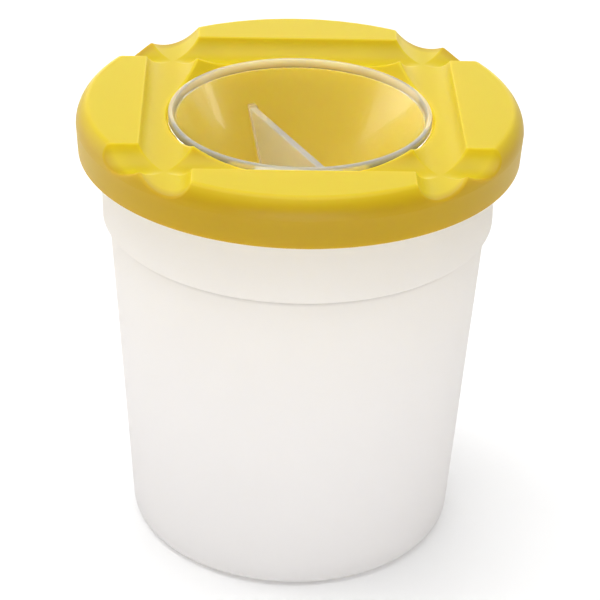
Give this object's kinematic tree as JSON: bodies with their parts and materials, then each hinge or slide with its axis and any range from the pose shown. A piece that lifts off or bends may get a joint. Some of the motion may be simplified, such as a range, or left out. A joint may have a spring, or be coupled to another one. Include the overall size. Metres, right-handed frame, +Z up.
{
  "type": "paint cup with lid",
  "caption": "Tapered translucent cup with a push-on lid that has grooves for resting brushes and a no-spill funnel, closed by a clear conical stopper.",
  "frame": {"origin": "centre of the cup's standing ring, on the surface it stands on", "axes": "+Z up along the cup's axis, +X and +Y along the two pairs of brush rests, with -Y towards the viewer of the picture"},
  "size_m": [0.091, 0.091, 0.0965],
  "materials": {
    "cup_plastic": "milky translucent polypropylene, smooth moulded",
    "lid_plastic": "yellow polypropylene, satin moulded",
    "stopper_plastic": "clear, glossy moulded"
  },
  "bodies": {
    "cup": {"cup": "cup_plastic"},
    "lid": {"lid": "lid_plastic"},
    "stopper": {"stopper": "stopper_plastic"}
  },
  "joints": [
    {"name": "lid_lift", "type": "slide", "parent": "cup", "child": "lid", "axis": [0, 0, 1], "range_m": [0, 0.04]},
    {"name": "stopper_pull", "type": "slide", "parent": "lid", "child": "stopper", "axis": [0, 0, 1], "range_m": [0, 0.04]}
  ]
}
